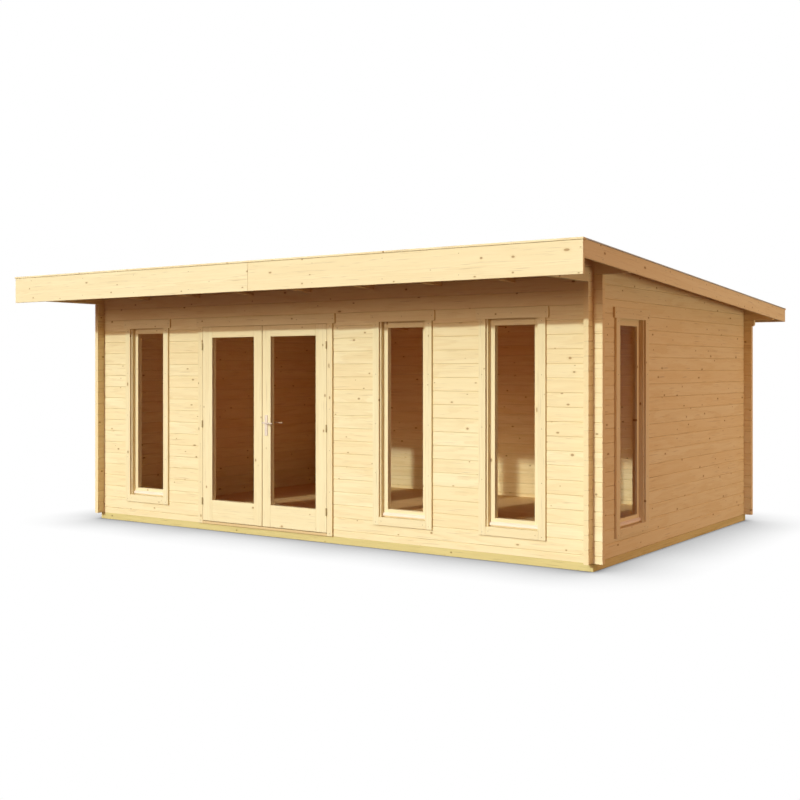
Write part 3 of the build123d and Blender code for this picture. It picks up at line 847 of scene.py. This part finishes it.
colour = softwood(
    shader,
    wire,
    wire.vector(x, z, y - THRESHOLD_PITH),
    tone=0.5,
    end=0.0,
    pale=linear(226, 200, 150),
    dark=linear(196, 160, 106),
    warm=linear(214, 180, 126),
    knot=linear(140, 100, 58),
    knot_share=0.3,
)
join(colour, shader, "Base Color")
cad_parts["door_threshold"].data.materials[0] = threshold_wood
for node in ("door_side_trims", "door_head_trim"):
    boards_of(node, planed, "cabin", draw, PLANED_ARRIS)
heads = bmesh.new()
for node in ("door_side_trims", "door_head_trim"):
    trim_screws(heads, node)
piece("door_trim_screws", heads, zinc, "cabin")

# Glazed leaves
# Two stiles and two rails, the bottom one deep, tenoned together round one pane.
# The looks close half of the working gap beside and over each leaf.
HINGE_STILE = 0.127
MEETING_STILE = 0.103
LEAF_RAILS = (0.204, 0.101)
LEAF_SWELL = 0.003
draw = random.Random(18)
for node, body, stiles in (
    ("left_leaf", "left_door", (HINGE_STILE + LEAF_SWELL, MEETING_STILE)),
    ("right_leaf", "right_door", (MEETING_STILE, HINGE_STILE + LEAF_SWELL)),
):
    boards = start_boards()
    low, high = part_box(node)
    if node == "left_leaf":
        low.x -= LEAF_SWELL
    else:
        high.x += LEAF_SWELL
    high.z += LEAF_SWELL
    framed(boards, low, high, stiles, (LEAF_RAILS[0], LEAF_RAILS[1] + LEAF_SWELL), draw, PLANED_ARRIS)
    beads_of(boards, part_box(node + "_glass"), (low, high), PANE_GRIP)
    piece(node + "_timber", boards, joinery, body, [node])

# Hinges and lever handle
# Zinc plated lift-off hinges, three to a leaf, and a satin lever on long plates that are screwed
# through the meeting stile, with a round lock cylinder below the lever on each face.
satin = metal("satin_metal", linear(222, 203, 186), linear(192, 173, 157), 0.42)
for node in ("hinge_pins", "left_hinge_knuckles", "right_hinge_knuckles"):
    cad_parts[node].data.materials[0] = zinc
PLATE_WIDTH = 0.034
PLATE_CORNER = 0.009
PLATE_EDGE = 0.002
PLATE_SCREW = 0.080
CYLINDER_DROP = 0.072
CYLINDER_RADIUS = 0.0085
CYLINDER_PROUD = 0.003
ROSE_RADIUS = 0.0135
ROSE_PROUD = 0.004
ROSE_TOP_SHARE = 0.9
ROSE_SEGMENTS = 24
CYLINDER_TOP_SHARE = 0.94
CYLINDER_RIM_SHARE = 0.35
CYLINDER_SEGMENTS = 16
KEYWAY_SHARE = 0.28
KEYWAY_SLOPE = 0.0002
CORNER_SEGMENTS = 5
FLATNESS = 0.0005
SPINDLE = Vector((-0.5197, -1.4925, 1.070))


def drum(mesh, spot, side, radius, tip_radius, depth, segments):
    """A short round piece that stands on a face towards the outside (-1) or the inside (1)."""
    turn = Vector((0.0, side, 0.0)).to_track_quat("Z", "Y").to_matrix().to_4x4()
    place = Matrix.Translation(Vector(spot) + Vector((0.0, side * depth / 2, 0.0))) @ turn
    made = bmesh.ops.create_cone(mesh, cap_ends=True, segments=segments, radius1=radius,
                                 radius2=tip_radius, depth=depth, matrix=place)
    faces = {face for corner in made["verts"] for face in corner.link_faces}
    return max(faces, key=lambda face: face.calc_center_median().y * side)


plates = bmesh.new()
for (low, high), side in zip(sorted(solids("handle_plates"), key=lambda box: box[0].y), (-1, 1)):
    middle = (low + high) / 2
    half = Vector((PLATE_WIDTH, high.y - low.y, high.z - low.z)) / 2
    edges = edges_at(block(plates, middle - half, middle + half))
    along = [edge for edge in edges if abs((edge.verts[0].co - edge.verts[1].co).y) > FLATNESS]
    rounded = round_edges(plates, along, PLATE_CORNER, CORNER_SEGMENTS)
    face_y = high.y if side > 0 else low.y
    rim = edges_at({point for face in rounded for point in face.verts})
    rim = [edge for edge in rim if all(abs(point.co.y - face_y) < FLATNESS for point in edge.verts)]
    round_edges(plates, rim, PLATE_EDGE)
    for rise in (-PLATE_SCREW, PLATE_SCREW):
        screw(plates, (middle.x, face_y, middle.z + rise), 1, side)
    rose_spot = (SPINDLE.x, face_y, SPINDLE.z)
    drum(plates, rose_spot, side, ROSE_RADIUS, ROSE_RADIUS * ROSE_TOP_SHARE, ROSE_PROUD, ROSE_SEGMENTS)
    lock_spot = (SPINDLE.x, face_y, SPINDLE.z - CYLINDER_DROP)
    lock_top = CYLINDER_RADIUS * CYLINDER_TOP_SHARE
    lock = drum(plates, lock_spot, side, CYLINDER_RADIUS, lock_top, CYLINDER_PROUD, CYLINDER_SEGMENTS)
    lock_rim = CYLINDER_RADIUS * CYLINDER_RIM_SHARE
    bmesh.ops.inset_individual(plates, faces=[lock], thickness=lock_rim, depth=0.0)
    keyway_place = Matrix.Translation(-lock.calc_center_median())
    bmesh.ops.scale(plates, vec=(KEYWAY_SHARE, 1.0, 1.0), space=keyway_place, verts=lock.verts)
    bmesh.ops.inset_individual(plates, faces=[lock], thickness=KEYWAY_SLOPE, depth=-CYLINDER_PROUD)
piece("door_handle_plates", plates, satin, "right_door", ["handle_plates"])

NECK_RADIUS = 0.0075
GRIP_HEIGHT = 0.015
GRIP_THICKNESS = 0.011
GRIP_TAPER = 0.35
GRIP_DROOP = 0.004
GRIP_ARRIS = 0.004
GRIP_SEGMENTS = 3
GRIP_CUTS = 9
NECK_OVERLAP = 0.002
NECK_SEGMENTS = 20
lever = bmesh.new()
low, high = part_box("handle_lever")
for side, near, far in ((-1, low.y + GRIP_THICKNESS, low.y), (1, high.y - GRIP_THICKNESS, high.y)):
    start_x = SPINDLE.x - NECK_RADIUS
    length = high.x - start_x
    middle = Vector((start_x + length / 2, (near + far) / 2, SPINDLE.z))
    half = Vector((length, GRIP_THICKNESS, GRIP_HEIGHT)) / 2
    round_edges(lever, edges_at(block(lever, middle - half, middle + half)), GRIP_ARRIS, GRIP_SEGMENTS)
    long_edges = [edge for edge in lever.edges if abs((edge.verts[0].co - edge.verts[1].co).x) > length / 2
                  and abs(edge.verts[0].co.y - middle.y) < GRIP_THICKNESS]
    bmesh.ops.subdivide_edges(lever, edges=long_edges, cuts=GRIP_CUTS, use_grid_fill=True)
    for point in lever.verts:
        if abs(point.co.y - middle.y) < GRIP_THICKNESS:
            share = (point.co.x - start_x) / length
            height = (point.co.z - SPINDLE.z) * (1 - GRIP_TAPER * share)
            point.co.z = SPINDLE.z + height - GRIP_DROOP * share ** 2
    neck = abs(near - SPINDLE.y) + NECK_OVERLAP
    drum(lever, SPINDLE, side, NECK_RADIUS, NECK_RADIUS, neck, NECK_SEGMENTS)
piece("door_lever", lever, satin, "door_handle", ["handle_lever"])

# Floor, light and camera
# A pale studio floor that glows white to the lens, with a soft contact shadow painted into the glow from
# ambient occlusion.
# A clear sun and a soft low light come from the front left with the sky over them; a back light, a panel at
# the right, one in the room and a warm world light the rest.
FLOOR_SIZE = 60.0
FLOOR_STRAY = (0.12, 0.04, 0.014, 1.0)
SHADOW_REACH = 0.8
CONTACT_REACH = 0.05
CONTACT_SHARE = 0.8
plane = bmesh.new()
bmesh.ops.create_grid(plane, x_segments=1, y_segments=1, size=FLOOR_SIZE)
floor_mesh = bpy.data.meshes.new("studio_floor")
plane.to_mesh(floor_mesh)
plane.free()
studio_floor = bpy.data.objects.new("studio_floor", floor_mesh)
bpy.context.scene.collection.objects.link(studio_floor)
floor_paint, shader, wire = new_material("studio_floor_paint")
floor_mesh.materials.append(floor_paint)
shader.inputs["Base Color"].default_value = FLOOR_STRAY
shader.inputs["Roughness"].default_value = 0.9


def seen_directly(wire):
    """1 for what the lens, a reflection or a pane looks straight at, and 0 for stray light."""
    path = wire.make("ShaderNodeLightPath", {}).output.node
    flags = [Wire(wire.tree, path.outputs[name]) for name in
             ("Is Camera Ray", "Is Glossy Ray", "Is Transmission Ray")]
    scattered = Wire(wire.tree, path.outputs["Diffuse Depth"])
    return wire.maths("MINIMUM", flags[0] + flags[1] + flags[2], 1.0) * (1 - (scattered > 0.5))


# Painted shadow: near the cabin, ambient occlusion darkens the floor's glow. The lamps do not shade it.
near = wire.make("ShaderNodeAmbientOcclusion", {"Distance": SHADOW_REACH}, "AO", samples=12)
touching = wire.make("ShaderNodeAmbientOcclusion", {"Distance": CONTACT_REACH}, "AO", samples=8)
painted_floor_shadow = near * (1 - CONTACT_SHARE + touching * CONTACT_SHARE)
painted_shadow_grey = wire.vector(painted_floor_shadow, painted_floor_shadow, painted_floor_shadow)
glow = wire.make("ShaderNodeEmission", {"Color": painted_shadow_grey, "Strength": 1.0})
shown = wire.make("ShaderNodeMixShader", {0: seen_directly(wire), 1: wire, 2: glow})
output = floor_paint.node_tree.nodes["Material Output"]
floor_paint.node_tree.links.new(shown.output, output.inputs["Surface"])

world = bpy.data.worlds.new("studio_world")
bpy.context.scene.world = world
world.use_nodes = True
background = world.node_tree.nodes["Background"]
wire = Wire(world.node_tree, background.outputs[0])
FILL = (0.46, 0.185, 0.092, 1.0)
WHITE = (1.0, 1.0, 1.0, 1.0)
join(wire.mix(seen_directly(wire), FILL, WHITE), background, "Color")
background.inputs["Strength"].default_value = 1.0


def sunlight(name, energy, colour, spread, travel):
    """A broad even light that shines along one direction."""
    lamp = bpy.data.lights.new(name, "SUN")
    lamp.energy = energy
    lamp.color = colour
    lamp.angle = math.radians(spread)
    stand = bpy.data.objects.new(name, lamp)
    bpy.context.scene.collection.objects.link(stand)
    stand.rotation_euler = Vector(travel).to_track_quat("-Z", "Y").to_euler()
    stand.visible_transmission = False


sunlight("key_light", energy=1.9, colour=(0.81, 0.97, 1.0), spread=1.5, travel=(0.187, 1.0, -0.40))
sunlight("front_light", energy=1.12, colour=(0.95, 0.85, 0.66), spread=27.0, travel=(0.187, 1.0, -0.27))
sunlight("sky_light", energy=1.0, colour=(0.48, 0.76, 1.0), spread=48.0, travel=(0.1, 1.0, -0.84))
sunlight("back_light", energy=1.9, colour=(0.78, 0.92, 1.0), spread=25.0, travel=(0.55, -0.75, -0.45))


def panel_light(name, energy, colour, size, place, facing):
    """A soft panel that lights one way and isn't seen itself."""
    lamp = bpy.data.lights.new(name, "AREA")
    lamp.shape = "RECTANGLE"
    lamp.size = size[0]
    lamp.size_y = size[1]
    lamp.energy = energy
    lamp.color = colour
    stand = bpy.data.objects.new(name, lamp)
    bpy.context.scene.collection.objects.link(stand)
    stand.location = place
    stand.rotation_euler = Vector(facing).to_track_quat("-Z", "Y").to_euler()
    stand.visible_camera = False
    stand.visible_transmission = False
    stand.visible_glossy = False


panel_light(
    "side_panel",
    energy=166.0,
    colour=(1.0, 0.85, 0.61),
    size=(4.4, 1.4),
    place=(10.0, 2.2, 0.72),
    facing=(-1.0, -0.2, 0.12),
)
panel_light(
    "room_panel",
    energy=5.8,
    colour=(1.0, 0.17, 0.07),
    size=(4.6, 2.2),
    place=(0.0, 0.25, 0.3),
    facing=(0.0, 0.0, 1.0),
)

lens = bpy.data.cameras.new("photo_camera")
lens.sensor_width = 36.0
lens.lens = 49.8
lens.shift_x = -0.1116
lens.shift_y = -0.0398
lens.clip_end = 300.0
camera = bpy.data.objects.new("photo_camera", lens)
bpy.context.scene.collection.objects.link(camera)
camera.location = (6.808, -9.1775, 1.582)
FORWARD = Vector((-0.5349, 0.8449, 0.0))
camera.rotation_euler = FORWARD.to_track_quat("-Z", "Y").to_euler()
bpy.context.scene.camera = camera
bpy.context.scene.view_settings.view_transform = "Standard"
